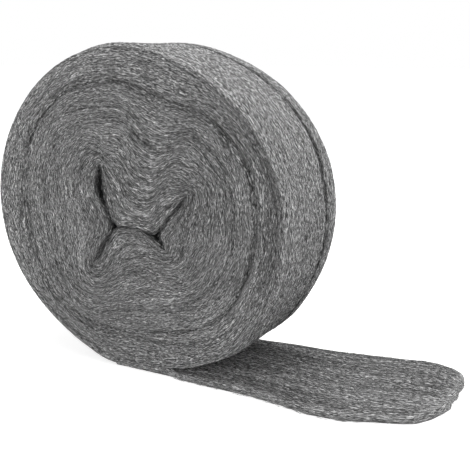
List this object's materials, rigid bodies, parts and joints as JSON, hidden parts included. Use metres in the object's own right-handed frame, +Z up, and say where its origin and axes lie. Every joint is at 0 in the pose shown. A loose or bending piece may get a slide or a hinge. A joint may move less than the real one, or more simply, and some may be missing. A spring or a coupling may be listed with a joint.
{
  "type": "steel wool roll",
  "caption": "Wide ribbon of fine steel wool wound into a thick squashed roll, standing on its rim with its free end lying flat.",
  "frame": {"origin": "on the bench surface straight below the roll's axis, half way across the ribbon's width", "axes": "+Z up, +Y along the roll's axis away from the front face, +X the way the free end runs out"},
  "size_m": [0.3793, 0.1289, 0.2578],
  "materials": {
    "steel_wool": "fine dull steel fibres laid along the ribbon"
  },
  "bodies": {
    "root": {"steel_wool_roll": "steel_wool"}
  },
  "joints": []
}
